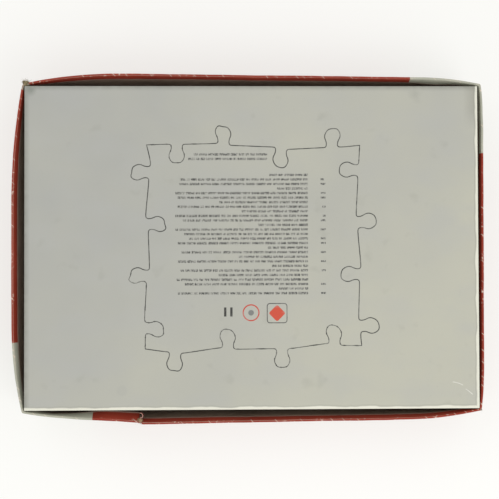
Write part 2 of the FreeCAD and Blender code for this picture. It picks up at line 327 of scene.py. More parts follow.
def greyboard(name="greyboard"):
    """Pulped board: brown grey, with fibres, flecks and a soft nap."""
    material, tree, shader, place = start_material(name, 0.9, 0.15)
    fibres = grain(tree, stretched(tree, place, (1, 1, 2.6)), 900, 4, 0.7, 0.4)
    clouds = grain(tree, place, 40, 3)
    flecks = spread(tree, grain(tree, place, 1500, 1), 0.66, 0.72)
    base = mix(tree, spread(tree, clouds, 0.35, 0.65), (0.33, 0.235, 0.18), (0.43, 0.325, 0.255))
    base = mix(tree, spread(tree, fibres, 0.3, 0.7, 0.0, 0.5), base, (0.52, 0.42, 0.34))
    base = mix(tree, times(tree, flecks, 0.6), base, (0.12, 0.09, 0.075))
    set_colour(tree, shader, base)
    set_bump(tree, shader, fibres, 0.0002)
    return material


def torn_fibre(name, dark, light):
    """The inside of the board where it has torn, which is hairy."""
    material, tree, shader, place = start_material(name, 0.95, 0.1)
    hairs = grain(tree, stretched(tree, place, (1, 1, 0.3)), 1600, 3, 0.7)
    clumps = grain(tree, place, 350, 2)
    base = mix(tree, spread(tree, clumps, 0.35, 0.65), dark, light)
    base = mix(tree, spread(tree, hairs, 0.5, 0.75, 0.0, 0.4), base, (0.46, 0.4, 0.28))
    set_colour(tree, shader, base)
    set_bump(tree, shader, hairs, 0.0003)
    return material


def kraft_tape():
    material, tree, shader, place = start_material("kraft_tape", 0.7, 0.3)
    ribs = grain(tree, stretched(tree, place, (1, 1, 14)), 180, 2)
    tone = spread(tree, ribs, 0.3, 0.7)
    set_colour(tree, shader, mix(tree, tone, (0.4, 0.26, 0.14), (0.5, 0.34, 0.2)))
    set_bump(tree, shader, ribs, 0.0001)
    return material


def tray_paper():
    """The tray's pale grey wrap: darker towards the back left and lighter and yellower towards
    the front right, with painted shade along its back and left edges, and a cream band along its
    front and right edges that is partly rubbed paper and partly a painted highlight."""
    material, tree, shader, place = start_material("tray_paper", 0.55, 0.35)
    parts = add(tree, "SeparateXYZ", {"Vector": place}).outputs
    # Darker towards the back and left, lighter and yellower towards the right and front.
    across = maths(tree, "SUBTRACT", parts[0], times(tree, parts[1], 0.9))
    lighter_to_front_right = maths(tree, "ADD", spread(tree, across, -0.3, 0.3), -0.5)
    blotch = grain(tree, place, 9, 3, 0.55)
    uneven = times(tree, maths(tree, "SUBTRACT", blotch, 0.5), 1.4)
    tone = maths(tree, "ADD", lighter_to_front_right, uneven)
    base = mix(tree, spread(tree, tone, -0.5, 0.5), (0.384, 0.383, 0.355), (0.469, 0.46, 0.385))
    cast = grain(tree, stretched(tree, place, (1, 1.6, 1)), 22, 2)
    base = mix(tree, spread(tree, cast, 0.45, 0.7, 0.0, 0.35), base, (0.41, 0.41, 0.395))
    speck = spread(tree, grain(tree, place, 1300, 2), 0.68, 0.76, 0.0, 0.35)
    base = mix(tree, speck, base, (0.3, 0.29, 0.25))

    on_top = spread(tree, parts[2], BASE_TOP - 2.4 * MM, BASE_TOP - 1.2 * MM)
    ragged = grain(tree, place, 160, 3)
    # Painted shade: the base darkened along its back and left edges, where its rounded edge
    # turns away from the light.
    painted_back_left_shade = maths(
        tree, "MAXIMUM",
        near_edge(tree, place, 0, TRAY_LOW.x, 4.5 * MM),
        near_edge(tree, place, 1, TRAY_HIGH.y, 4 * MM),
    )  # fmt: skip
    painted_back_left_shade = times(tree, painted_back_left_shade, spread(tree, ragged, 0.25, 0.7, 0.41, 0.75))
    base = mix(tree, times(tree, painted_back_left_shade, on_top), base, (0.2, 0.2, 0.17))
    handled = near_edge(tree, place, 0, TRAY_HIGH.x, 12 * MM)
    at_back = spread(tree, parts[1], MIDDLE.y + 96 * MM, MIDDLE.y + 112 * MM, 0.0, 0.42)
    handled = times(tree, times(tree, handled, at_back), on_top)
    base = mix(tree, handled, base, (0.2, 0.19, 0.15))

    # Partly rubbed paper and partly painted light: a cream painted highlight along the front and
    # right edges, whose rounded edge faces the light, with a band of painted shade just inside
    # it.
    rubbed = maths(
        tree, "MAXIMUM",
        near_edge(tree, place, 0, TRAY_HIGH.x, 4 * MM),
        near_edge(tree, place, 1, TRAY_LOW.y, 4 * MM),
    )  # fmt: skip
    wavy = times(tree, maths(tree, "SUBTRACT", grain(tree, place, 60, 2), 0.5), 0.8)
    rubbed = maths(tree, "ADD", rubbed, wavy)
    shade = times(tree, spread(tree, rubbed, 0.12, 0.34, 0.0, 0.4), on_top)
    base = mix(tree, shade, base, (0.26, 0.26, 0.22))
    rubbed = times(tree, spread(tree, rubbed, 0.34, 0.62), on_top)
    base = mix(tree, times(tree, rubbed, 0.95), base, (0.74, 0.725, 0.62))

    corner = Vector((TRAY_LOW.x + 4.8 * MM, TRAY_HIGH.y - 3.6 * MM, BASE_TOP))
    smudge = add(tree, "VectorMath", {0: place, 1: corner}, operation="DISTANCE").outputs[1]
    smudge = spread(tree, smudge, 1.2 * MM, 5.5 * MM, 0.85, 0.0)
    base = mix(tree, times(tree, smudge, ragged), base, (0.14, 0.16, 0.13))
    ring_middle = Vector((MIDDLE.x - 106 * MM, MIDDLE.y - 116 * MM, BASE_TOP))
    spot = add(tree, "VectorMath", {0: place, 1: ring_middle}, operation="DISTANCE").outputs[1]
    spot = spread(tree, spot, 3.6 * MM, 5 * MM, 0.22, 0.0)
    base = mix(tree, spot, base, (0.36, 0.36, 0.33))
    set_colour(tree, shader, base)

    tooth = grain(tree, place, 1100, 3, 0.6)
    set_bump(tree, shader, tooth, 0.00005, 0.5)
    sheen = spread(tree, blotch, 0.3, 0.7, 0.5, 0.66)
    tree.links.new(sheen, shader.inputs["Roughness"])
    return material


def pale_corners(tree, place):
    """1 on the two printed corners of the lid that are pale, and 0 elsewhere."""
    parts = add(tree, "SeparateXYZ", {"Vector": place}).outputs
    shares = []
    for sign in (1, -1):
        across = times(tree, maths(tree, "SUBTRACT", parts[0], MIDDLE.x), sign)
        along = times(tree, maths(tree, "SUBTRACT", parts[1], MIDDLE.y), sign)
        right = maths(tree, "GREATER_THAN", across, LID_REACH.x - PALE_CORNER)
        back = maths(tree, "GREATER_THAN", along, LID_REACH.y - PALE_CORNER)
        shares.append(times(tree, right, back))
    return maths(tree, "MAXIMUM", *shares)


def landscape(tree, place):
    """An invented picture: sky, hills, a lake and a meadow, from a place whose X and Y run from
    0 to 1 over it."""
    parts = add(tree, "SeparateXYZ", {"Vector": place}).outputs
    picture = mix(tree, spread(tree, parts[1], 0.5, 1.0), (0.62, 0.78, 0.86), (0.12, 0.32, 0.62))
    cloud = grain(tree, stretched(tree, place, (2.2, 6, 1)), 1.6, 5, 0.6)
    picture = mix(tree, spread(tree, cloud, 0.52, 0.68, 0.0, 0.9), picture, (0.93, 0.92, 0.88))
    leaves = grain(tree, place, 46, 4, 0.7)
    for low, rough, scale, near, far in (
        (0.56, 0.24, 1.7, (0.2, 0.3, 0.42), (0.34, 0.44, 0.55)),
        (0.46, 0.16, 2.9, (0.05, 0.16, 0.08), (0.16, 0.3, 0.12)),
    ):
        ridge = grain(tree, stretched(tree, place, (scale, 0.01, 1)), 2.2, 4, 0.55)
        top = maths(tree, "ADD", low, times(tree, ridge, rough))
        under = maths(tree, "LESS_THAN", parts[1], top)
        hill = mix(tree, spread(tree, leaves, 0.35, 0.65), near, far)
        picture = mix(tree, under, picture, hill)
    ripples = grain(tree, stretched(tree, place, (3, 26, 1)), 3.5, 3)
    water = mix(tree, spread(tree, ripples, 0.35, 0.65), (0.07, 0.2, 0.33), (0.34, 0.53, 0.62))
    picture = mix(tree, maths(tree, "LESS_THAN", parts[1], 0.47), picture, water)
    shore = maths(tree, "ADD", 0.16, times(tree, grain(tree, place, 3.2, 3), 0.2))
    meadow = mix(tree, spread(tree, leaves, 0.3, 0.7), (0.13, 0.25, 0.04), (0.42, 0.44, 0.1))
    blossom = spread(tree, grain(tree, place, 75, 1), 0.67, 0.7)
    meadow = mix(tree, blossom, meadow, (0.72, 0.2, 0.1))
    return mix(tree, maths(tree, "LESS_THAN", parts[1], shore), picture, meadow)


def lid_paper():
    """The lid's printed wrap: red sides with two pale corners, the picture in a red frame on the
    face, and the ink rubbed and cracked along the rim and the corners."""
    material, tree, shader, place = start_material("lid_paper", 0.5, 0.18)
    parts = add(tree, "SeparateXYZ", {"Vector": place}).outputs
    tone = grain(tree, place, 30, 3, 0.6)
    red = mix(tree, spread(tree, tone, 0.3, 0.7), (0.24, 0.027, 0.014), (0.31, 0.042, 0.022))
    pale = mix(tree, spread(tree, tone, 0.3, 0.7), (0.37, 0.37, 0.3), (0.45, 0.445, 0.365))
    base = mix(tree, pale_corners(tree, place), red, pale)

    # The face, which is underneath: mirrored left to right, so that it reads from below.
    wide = maths(tree, "DIVIDE", maths(tree, "SUBTRACT", MIDDLE.x, parts[0]), 2 * LID_REACH.x)
    tall = maths(tree, "DIVIDE", maths(tree, "SUBTRACT", parts[1], MIDDLE.y), 2 * LID_REACH.y)
    on_face = add(
        tree, "CombineXYZ", {0: maths(tree, "ADD", wide, 0.5), 1: maths(tree, "ADD", tall, 0.5)}
    ).outputs[0]
    inside = maths(tree, "LESS_THAN", maths(tree, "ABSOLUTE", wide), 0.462)
    inside_y = maths(tree, "LESS_THAN", maths(tree, "ABSOLUTE", tall), 0.446)
    inside = times(tree, inside, inside_y)
    inside = times(tree, inside, maths(tree, "LESS_THAN", parts[2], 0.1 * MM))
    base = mix(tree, inside, base, landscape(tree, on_face))

    # Cracks across the fold at the rim, and small scuffs along it.
    ragged = grain(tree, place, 240, 4, 0.65)
    core = (0.72, 0.6, 0.5)
    wander = times(tree, grain(tree, place, 420, 2), 1.6 * MM)
    along = maths(tree, "ADD", maths(tree, "ADD", parts[0], parts[1]), wander)
    cell = add(tree, "TexVoronoi", {"W": along, "Scale": 88}, voronoi_dimensions="1D").outputs
    crack = spread(tree, cell["Distance"], 0.034, 0.014)
    luck = add(tree, "SeparateXYZ", {"Vector": cell["Color"]}).outputs
    crack = times(tree, crack, spread(tree, luck[0], 0.3, 0.6))
    depth = times(tree, spread(tree, luck[1], 0, 1, 0.8, 3.0), MM)
    reach = maths(tree, "SUBTRACT", LID_HIGH, depth)
    near_rim = maths(tree, "DIVIDE", maths(tree, "SUBTRACT", parts[2], reach), depth, True)
    base = mix(tree, times(tree, crack, near_rim), base, core)
    scuffs = spread(tree, grain(tree, place, 430, 2), 0.6, 0.66)
    patch = spread(tree, grain(tree, place, 60, 2), 0.45, 0.6)
    on_rim = spread(tree, parts[2], LID_HIGH - 1.6 * MM, LID_HIGH - 0.5 * MM)
    worn = times(tree, times(tree, scuffs, patch), on_rim)
    base = mix(tree, times(tree, worn, 0.8), base, core)

    # The cut edge of the paper that is turned in behind the rim.
    turned = add(tree, "Attribute", attribute_name="turned_in").outputs["Fac"]
    uneven = times(tree, maths(tree, "SUBTRACT", ragged, 0.5), 0.14)
    cut_edge = spread(tree, maths(tree, "ADD", turned, uneven), 0.84, 0.9)
    base = mix(tree, times(tree, cut_edge, 0.8), base, (0.42, 0.3, 0.25))

    corner_x = maths(tree, "ABSOLUTE", maths(tree, "SUBTRACT", parts[0], MIDDLE.x))
    corner_y = maths(tree, "ABSOLUTE", maths(tree, "SUBTRACT", parts[1], MIDDLE.y))
    near_x = spread(tree, corner_x, LID_REACH.x - 2.2 * MM, LID_REACH.x - 0.5 * MM)
    near_y = spread(tree, corner_y, LID_REACH.y - 2.2 * MM, LID_REACH.y - 0.5 * MM)
    upright = times(tree, near_x, near_y)
    fold = spread(tree, parts[2], 1.2 * MM, 0.3 * MM)
    fold = times(tree, fold, maths(tree, "MAXIMUM", near_x, near_y))
    rubbed = times(tree, maths(tree, "MAXIMUM", upright, fold),
                   spread(tree, ragged, 0.45, 0.6))  # fmt: skip
    base = mix(tree, times(tree, rubbed, 0.8), base, (0.6, 0.5, 0.4))
    set_colour(tree, shader, base)
    sheen = spread(tree, ragged, 0.3, 0.7, 0.46, 0.6)
    tree.links.new(sheen, shader.inputs["Roughness"])
    set_bump(tree, shader, grain(tree, place, 700, 3), 0.00006, 0.5)
    return material


def curled_paper(pale_above):
    """Red paper, torn to its pale pink core along its top."""
    material, tree, shader, place = start_material("curled_paper", 0.6, 0.2)
    height = add(tree, "SeparateXYZ", {"Vector": place}).outputs[2]
    uneven = times(tree, grain(tree, place, 500, 3), 1.6 * MM)
    torn = spread(tree, maths(tree, "ADD", height, uneven), pale_above, pale_above + 1.2 * MM)
    base = mix(tree, torn, (0.22, 0.025, 0.015), (0.52, 0.28, 0.23))
    set_colour(tree, shader, base)
    set_bump(tree, shader, grain(tree, place, 900, 3), 0.0001)
    return material


def printing_ink(name, colour, broken=0.0):
    """Ink on the tray's base. Where it is broken, fine upright breaks show the paper."""
    material, tree, shader, place = start_material(name, 0.5, 0.35)
    thin = grain(tree, place, 170, 3)
    paper = (0.45, 0.445, 0.4)
    base = mix(tree, spread(tree, thin, 0.45, 0.75, 0.0, 0.45), colour, paper)
    if broken:
        strokes = grain(tree, stretched(tree, place, (1, 0.35, 1)), 1900, 1)
        gaps = spread(tree, strokes, 0.48, 0.58)
        base = mix(tree, times(tree, gaps, broken), base, paper)
    set_colour(tree, shader, base)
    return material


def clear_film():
    material, tree, shader, place = start_material("clear_film", 0.16, 0.5)
    shader.inputs["Alpha"].default_value = 0.24
    cloud = grain(tree, place, 26, 3)
    cloud = spread(tree, cloud, 0.3, 0.7)
    set_colour(tree, shader, mix(tree, cloud, (0.8, 0.82, 0.83), (0.95, 0.96, 0.96)))
    set_bump(tree, shader, grain(tree, place, 45, 4, 0.6, 0.8), 0.0012)
    return material


def piece_picture():
    """The printed side of a loose piece, which shows its own place in the picture."""
    material, tree, shader, place = start_material("piece_picture", 0.32, 0.45)
    own = add(tree, "UVMap", uv_map="picture").outputs[0]
    base = landscape(tree, own)
    dust = grain(tree, place, 300, 3)
    dust = spread(tree, dust, 0.55, 0.8, 0, 0.15)
    set_colour(tree, shader, mix(tree, dust, base, (0.7, 0.7, 0.68)))
    linen = grain(tree, place, 1500, 1)
    set_bump(tree, shader, linen, 0.00005, 0.5)
    return material


def piece_back():
    material, tree, shader, place = start_material("piece_back", 0.8, 0.2)
    mottle = grain(tree, place, 260, 4, 0.65)
    tone = spread(tree, mottle, 0.3, 0.7)
    set_colour(tree, shader, mix(tree, tone, (0.27, 0.33, 0.4), (0.38, 0.44, 0.5)))
    set_bump(tree, shader, mottle, 0.0001)
    return material


# ---- how the lid's walls stand


def bow_by_arc(distance, run, bow):
    """How far out a rim is at a distance from its corner, on an arc that levels off at run."""
    if distance <= 0:
        return 0.0
    if distance >= run:
        return bow
    radius = (run * run + bow * bow) / (2 * bow)
    return math.sqrt(radius * radius - (run - distance) ** 2) - (radius - bow)


def rim_bow(wall, place, reach):
    """How far a wall's rim stands out at a place along it, from its left or front end."""
    (low_run, low_bow), (high_run, high_bow) = (
        (run * MM, bow * MM) for run, bow in RIM_BOW[wall]
    )
    from_low = place + reach
    from_high = reach - place
    if from_low < low_run:
        return bow_by_arc(from_low, low_run, low_bow)
    if from_high < high_run:
        return bow_by_arc(from_high, high_run, high_bow)
    share = (from_low - low_run) / (2 * reach - low_run - high_run)
    return low_bow + share * (high_bow - low_bow)


def ripple(wall, place):
    """The slow unevenness of a wall's rim, which the board and its paper share."""
    number = list(RIM_BOW).index(wall)
    slow = noise.noise(Vector((place / 0.045, 3.7 * number, 0.5)))
    quick = noise.noise(Vector((place / 0.012, 5.1 * number, 8.5)))
    return (0.28 * slow + 0.12 * quick) * MM


def turn_in_flare(wall, place):
    """How far the paper's turned-in edge has come away from the board inside a wall: most of
    all in front, left of the split."""
    number = list(RIM_BOW).index(wall)
    loose = 0.5 + noise.noise(Vector((place / 0.05, 7.3 * number, 2.5)))
    flare = 0.45 * loose
    if wall == "front":
        left_of_split = soft_step(-160 * MM, -112 * MM, place) * (place < SPLIT_X)
        flare += 4.4 * left_of_split + 1.1 * soft_step(-164 * MM, -176 * MM, place)
        flare += 0.9 * (place > SPLIT_X)
    if wall == "left":
        flare += 0.8
    if wall == "back":
        flare += 0.3 + 1.5 * math.exp(-(((place - 152 * MM) / (14 * MM)) ** 2))
    return flare * MM


def front_wall_shift(place, left_side):
    """How the split moves the front wall inwards, at its rim."""
    corner = MIDDLE.x - LID_REACH.x
    if not left_side:
        return -0.2 * MM
    share = min(1, max(0, (place - corner) / (SPLIT_X - corner)))
    slack = SLACK * math.sin(math.pi * share) * rim_bow("front", place - MIDDLE.x, LID_REACH.x)
    return -slack - SPLIT_STEP * soft_step(0.45, 1, share)


def stand_walls(piece, inside_below):
    """Moves a straight-walled lid's points to where bowing, rippling and the split put them.
    A point further inside than inside_below is on the paper turned in behind the rim."""
    mesh = bmesh.new()
    mesh.from_mesh(piece.data)
    moves = []
    for vert in mesh.verts:
        here = vert.co - Vector((MIDDLE.x, MIDDLE.y, 0))
        share = vert.co.z / LID_HIGH
        side = middle_of_faces(vert) - SPLIT_X
        out = Vector()
        for axis, names in ((0, ("left", "right")), (1, ("front", "back"))):
            other = 1 - axis
            wall = names[here[axis] > 0]
            sign = 1 if here[axis] > 0 else -1
            place = here[other]
            bow = rim_bow(wall, place, LID_REACH[other])
            if wall == "right":
                at_back = soft_step(30 * MM, 0, LID_REACH.y - place)
                bow += BACK_END_LEAN * at_back * soft_step(60 * MM, 180 * MM, here.x)
            near_wall = abs(here[axis]) > LID_REACH[axis] - 4 * MM
            if near_wall:
                settled = soft_step(0, 24 * MM, LID_REACH[other] - abs(place))
                bow += ripple(wall, place) * settled
                if wall == "front" and vert.co.z > 1 * MM:
                    bow += front_wall_shift(vert.co.x, side < 0)
            out[axis] += sign * bow * share
            if near_wall and abs(here[axis]) < inside_below[axis]:
                hang = max(0, (LID_HIGH - vert.co.z) / TURN_IN)
                away = soft_step(0, 12 * MM, LID_REACH[other] - abs(place))
                out[axis] -= sign * turn_in_flare(wall, vert.co[other]) * min(1, hang) * away
        waver = noise.noise(Vector((here.x / 0.05, here.y / 0.05, 1.5)))
        out.z = (0.35 * waver - 0.2) * MM * share
        moves.append(out)
    for vert, out in zip(mesh.verts, moves):
        vert.co += out
    mesh.to_mesh(piece.data)
    mesh.free()


def middle_of_faces(vert):
    """How far along X the faces round a point lie, which tells the split's two sides apart."""
    faces = vert.link_faces
    return sum(face.calc_center_median().x for face in faces) / max(1, len(faces))


def split_front_wall(piece):
    """Cuts the front wall down from its rim, and pulls the two torn edges apart unevenly."""
    with editing(piece):
        bpy.ops.mesh.select_all(action="SELECT")
        bpy.ops.mesh.bisect(plane_co=(SPLIT_X, 0, 0), plane_no=(1, 0, 0))
        low = LID_HIGH - SPLIT_DEPTH

        def on_split(edge):
            middle = middle_of(edge)
            along = edge.verts[1].co - edge.verts[0].co
            at_split = abs(middle.x - SPLIT_X) < 0.01 * MM and middle.y < MIDDLE.y
            return at_split and middle.z > low and abs(along.x) < 0.01 * MM

        pick(piece, "edges", on_split)
        bpy.ops.mesh.edge_split(type="EDGE")
    mesh = bmesh.new()
    mesh.from_mesh(piece.data)
    moves = []
    for vert in mesh.verts:
        away = abs(vert.co.x - SPLIT_X)
        if away > SPLIT_REACH or vert.co.y > MIDDLE.y - LID_REACH.y + 4 * MM or vert.co.z < low:
            continue
        side = math.copysign(1, middle_of_faces(vert) - SPLIT_X)
        jag = noise.noise(Vector((side * 9, vert.co.y * 300, vert.co.z * 330)))
        gap = SPLIT_GAP * (0.5 + 0.9 * jag) * (1 - away / SPLIT_REACH)
        moves.append((vert, side * gap * soft_step(low, LID_HIGH, vert.co.z)))
    for vert, move in moves:
        vert.co.x += move
    mesh.to_mesh(piece.data)
    mesh.free()


# ---- the lid


def lid_box(name, reach, low, high):
    """A box round the lid's middle, between two heights."""
    return start_box(
        name, (MIDDLE.x - reach.x, MIDDLE.y - reach.y, low),
        (MIDDLE.x + reach.x, MIDDLE.y + reach.y, high),
    )  # fmt: skip


def lid_board_shell():
    """The folded board: a shallow box with its open side up."""
    piece = lid_box("lid_board_shell", BOARD_REACH, PAPER, LID_HIGH - PAPER)
    with editing(piece):
        open_and_bevel(piece, lambda face: face.normal.z > 0.9, BOARD_FOLD)
        for axis, cuts in ((0, 92), (1, 66), (2, 13)):
            cut_along(piece, axis, cuts)
    split_front_wall(piece)
    stand_walls(piece, Vector((0, 0, 0)))
    finish_with(piece, "SOLIDIFY", thickness=BOARD, offset=-1)
    smooth(piece)
    hand_over(piece, "lid", "greyboard", greyboard(), "lid_board")


def lid_corner_tapes():
    """Tape round each of the lid's corners, between its board and its paper."""
    piece = lid_box("lid_corner_tape", BOARD_REACH, PAPER + BOARD, LID_HIGH - BOARD)
    with editing(piece):
        open_and_bevel(piece, lambda face: abs(face.normal.z) > 0.9, BOARD_FOLD)
        for axis in (0, 1):
            for side in (-1, 1):
                place = Vector((0, 0, 0))
                place[axis] = MIDDLE[axis] + side * (BOARD_REACH[axis] - TAPE_REACH)
                way = Vector((0, 0, 0))
                way[axis] = 1
                bpy.ops.mesh.select_all(action="SELECT")
                bpy.ops.mesh.bisect(plane_co=place, plane_no=way)
        pick(piece, "faces", lambda face: face.calc_area() > 2 * TAPE_REACH * LID_HIGH)
        bpy.ops.mesh.delete(type="FACE")
        for axis, cuts in ((0, 4), (1, 4), (2, 13)):
            cut_along(piece, axis, cuts)
    stand_walls(piece, Vector((0, 0, 0)))
    finish_with(piece, "SOLIDIFY", thickness=TAPE, offset=-1)
    smooth(piece)
    hand_over(piece, "lid", "corner_tape", kraft_tape(), "lid_corner_stays")


def lid_wrap_skin():
    """The printed paper: face, sides, round the rim and turned in behind it."""
    piece = lid_box("lid_wrap", LID_REACH, 0, LID_HIGH)
    with editing(piece):
        open_and_bevel(piece, lambda face: face.normal.z > 0.9, WRAP_FOLD)
        turn_in_rim(piece, LID_REACH, LID_HIGH, -TURN_IN)
        pick(
            piece, "edges",
            lambda edge: len(edge.link_faces) == 2
            and all(abs(vert.co.z - LID_HIGH) < 0.01 * MM for vert in edge.verts)
            and abs(edge.link_faces[0].normal.dot(edge.link_faces[1].normal)) < 0.5,
        )  # fmt: skip
        bevel(RIM_ROUND)
        for axis, cuts in ((0, 122), (1, 88), (2, 11)):
            cut_along(piece, axis, cuts)
        tear_corner(piece)
    mark_turn_in(piece)
    split_front_wall(piece)
    inside = LID_REACH - Vector((1, 1, 0)) * (RIM_WIDTH - 0.4 * MM)
    stand_walls(piece, inside)
    finish_with(piece, "SOLIDIFY", thickness=PAPER, offset=-1)
    smooth(piece)
    hand_over(piece, "lid", "lid_paper", lid_paper(), "lid_face_sheet", "lid_side_wrap")


def mark_turn_in(piece):
    """Gives each point how far down the turned-in paper it is, from 0 at the rim to 1."""
    turned = piece.data.attributes.new("turned_in", "FLOAT", "POINT")
    for vert, mark in zip(piece.data.vertices, turned.data):
        away = vert.co - MIDDLE
        inside = max(abs(away.x) - LID_REACH.x, abs(away.y) - LID_REACH.y) < -BOARD
        if inside and vert.co.z > LID_HIGH - 2 * TURN_IN:
            mark.value = (LID_HIGH - vert.co.z) / TURN_IN


def tear_corner(piece):
    """Takes the paper off the back left corner, at the rim."""
    corner = Vector((MIDDLE.x - LID_REACH.x, MIDDLE.y + LID_REACH.y, LID_HIGH))

    def torn(face):
        away = face.calc_center_median() - corner
        ragged = 1.6 * MM * noise.noise(away * 260)
        return max(abs(away.x), abs(away.y), 0.6 * abs(away.z)) + ragged < TORN_REACH

    pick(piece, "faces", torn)
    bpy.ops.mesh.delete(type="FACE")


# ---- torn board: lumps and hairs


def torn_lump(name, place, size, seed):
    """A clump of torn board: a ball pushed out of shape."""
    settle()
    bpy.ops.mesh.primitive_ico_sphere_add(subdivisions=4, radius=1, location=place, scale=size)
    piece = name_piece(name)
    middle = Vector(place)
    for vert in piece.data.vertices:
        away = vert.co - middle
        push = noise.fractal(away / MM * 0.55 + Vector((seed, 0, 0)), 0.7, 2.1, 4)
        vert.co = middle + away * (1 + 0.42 * push)
    return piece


def hair(name, root, tip, sideways, width):
    """One fibre: a tapering curve with a bend."""
    curve = bpy.data.curves.new(name, "CURVE")
    curve.dimensions = "3D"
    curve.bevel_depth = width
    curve.bevel_resolution = 1
    curve.resolution_u = 3
    spline = curve.splines.new("NURBS")
    spline.points.add(3)
    for number, share in enumerate((0, 0.35, 0.7, 1)):
        bend = sideways * math.sin(math.pi * share)
        spline.points[number].co = (*(root + (tip - root) * share + bend), 1)
        spline.points[number].radius = 1 - 0.8 * share
    spline.order_u = 3
    spline.use_endpoint_u = True
    strand = bpy.data.objects.new(name, curve)
    bpy.context.collection.objects.link(strand)
    return strand


def tuft(name, place, lean, spread_by, length, count, seed):
    """A bunch of fibres from one place, joined into one piece."""
    luck = random.Random(seed)
    strands = []
    for number in range(count):
        root = place + Vector([luck.uniform(-1, 1) * reach for reach in spread_by])
        way = lean + Vector([luck.gauss(0, 0.42) for _ in range(3)])
        tip = root + way.normalized() * length * luck.uniform(0.35, 1)
        bend = Vector([luck.gauss(0, 0.18) for _ in range(3)]) * length
        strands.append(hair(f"{name}_{number}", root, tip, bend, luck.uniform(0.05, 0.13) * MM))
    settle()
    for strand in strands:
        strand.select_set(True)
    bpy.context.view_layer.objects.active = strands[0]
    bpy.ops.object.convert(target="MESH")
    bpy.ops.object.join()
    return name_piece(name)


def join(name, pieces):
    settle()
    for piece in pieces:
        piece.select_set(True)
    bpy.context.view_layer.objects.active = pieces[0]
    bpy.ops.object.join()
    return name_piece(name)


def keep_in_box(piece):
    """Holds a piece's points within the frame's own box."""
    for vert in piece.data.vertices:
        vert.co = [min(max(here, low), high) for here, low, high in zip(vert.co, *cad_box)]


def split_curl():
    """The turned-in paper beside the split, torn and curled up into a half tube."""
    settle()
    place = Vector((SPLIT_X - 0.4 * MM, MIDDLE.y - TRAY_REACH.y - 4.6 * MM, LID_HIGH - 3.4 * MM))
    bpy.ops.mesh.primitive_cylinder_add(
        vertices=28, radius=1.9 * MM, depth=6 * MM, end_fill_type="NOTHING", location=place
    )
    piece = name_piece("split_paper_curl")
    with editing(piece):
        pick(piece, "verts", lambda vert: vert.co.x < place.x - 0.5 * MM)
        bpy.ops.mesh.delete(type="VERT")
        cut_along(piece, 2, 5, 4 * MM)
    for vert in piece.data.vertices:
        push = 0.5 * MM * noise.noise(vert.co * 420)
        vert.co += Vector((push, push, push * (vert.co.z > place.z)))
    finish_with(piece, "SOLIDIFY", thickness=0.4 * MM, offset=0)
    smooth(piece, 50)
    hand_over(piece, "lid", "lid_paper", curled_paper(place.z + 1.6 * MM))


def torn_places():
    """Board fibres at the torn back left corner, in the split, and at the front right corner."""
    fibre = torn_fibre("torn_fibre", (0.13, 0.105, 0.055), (0.33, 0.27, 0.16))
    brown_fibre = torn_fibre("brown_torn_fibre", (0.16, 0.1, 0.055), (0.34, 0.23, 0.14))
    corner = Vector((MIDDLE.x - LID_REACH.x + 2.9 * MM, MIDDLE.y + LID_REACH.y + 0.2 * MM,
                     LID_HIGH - 2.4 * MM))  # fmt: skip
    lump = torn_lump("corner_lump", corner, (2.9 * MM, 2.5 * MM, 2.6 * MM), 3)
    hairs = tuft("corner_hairs", corner, Vector((-0.25, 0.7, 0.2)),
                 (2.4 * MM, 2.2 * MM, 1.6 * MM), 4.5 * MM, 70, 4)  # fmt: skip
    piece = join("torn_corner_fibres", [lump, hairs])
    keep_in_box(piece)
    smooth(piece, 50)
    hand_over(piece, "lid", "greyboard", fibre)

    split = Vector((SPLIT_X - 1.4 * MM, MIDDLE.y - LID_REACH.y - 6.4 * MM, LID_HIGH - 2.4 * MM))
    lump = torn_lump("split_lump", split, (2.4 * MM, 1.9 * MM, 2.4 * MM), 8)
    hairs = tuft("split_hairs", split, Vector((0.1, -0.5, 0.3)),
                 (2.2 * MM, 1.2 * MM, 1.2 * MM), 3.6 * MM, 60, 9)  # fmt: skip
    piece = join("split_fibres", [lump, hairs])
    keep_in_box(piece)
    smooth(piece, 50)
    hand_over(piece, "lid", "greyboard", brown_fibre)
    split_curl()

    corner = Vector((MIDDLE.x + LID_REACH.x - 0.7 * MM, MIDDLE.y - LID_REACH.y + 0.8 * MM,
                     LID_HIGH - 0.8 * MM))  # fmt: skip
    piece = tuft("front_corner_fibres", corner, Vector((0.3, -0.3, 0.5)),
                 (0.7 * MM, 0.7 * MM, 0.4 * MM), 1.6 * MM, 26, 12)  # fmt: skip
    keep_in_box(piece)
    smooth(piece, 50)
    hand_over(piece, "lid", "greyboard", fibre)


# ---- the tray


def base_height(x, y):
    """The height of the tray's base, which is not quite flat."""
    slow = noise.noise(Vector((x / 0.11, y / 0.11, 4.5)))
    inner = min(TRAY_REACH.x - abs(x - MIDDLE.x), TRAY_REACH.y - abs(y - MIDDLE.y))
    return BASE_TOP - (0.11 + 0.07 * slow) * MM * soft_step(2 * MM, 30 * MM, inner)


def tray_wrap_skin():
    """The tray's grey paper: base, sides, and turned in behind the rim underneath."""
    piece = start_box("tray_paper", TRAY_LOW, TRAY_HIGH)
    with editing(piece):
        open_and_bevel(piece, lambda face: face.normal.z < -0.9, TRAY_FOLD)
        turn_in_rim(piece, TRAY_REACH, TRAY_LOW.z, TURN_IN)
        for axis, cuts in ((0, 74), (1, 52), (2, 6)):
            cut_along(piece, axis, cuts)
    for vert in piece.data.vertices:
        if vert.co.z > BASE_TOP - 0.05 * MM:
            vert.co.z = base_height(vert.co.x, vert.co.y)
    finish_with(piece, "SOLIDIFY", thickness=0.8 * PAPER, offset=-1)
    smooth(piece)
    hand_over(piece, "tray", "tray_paper", tray_paper(), "tray_wrap")


# ---- what is printed on the tray's base, as thin ink standing just proud of the paper

INK_PROUD = 0.03 * MM
INK_SUNK = 0.05 * MM


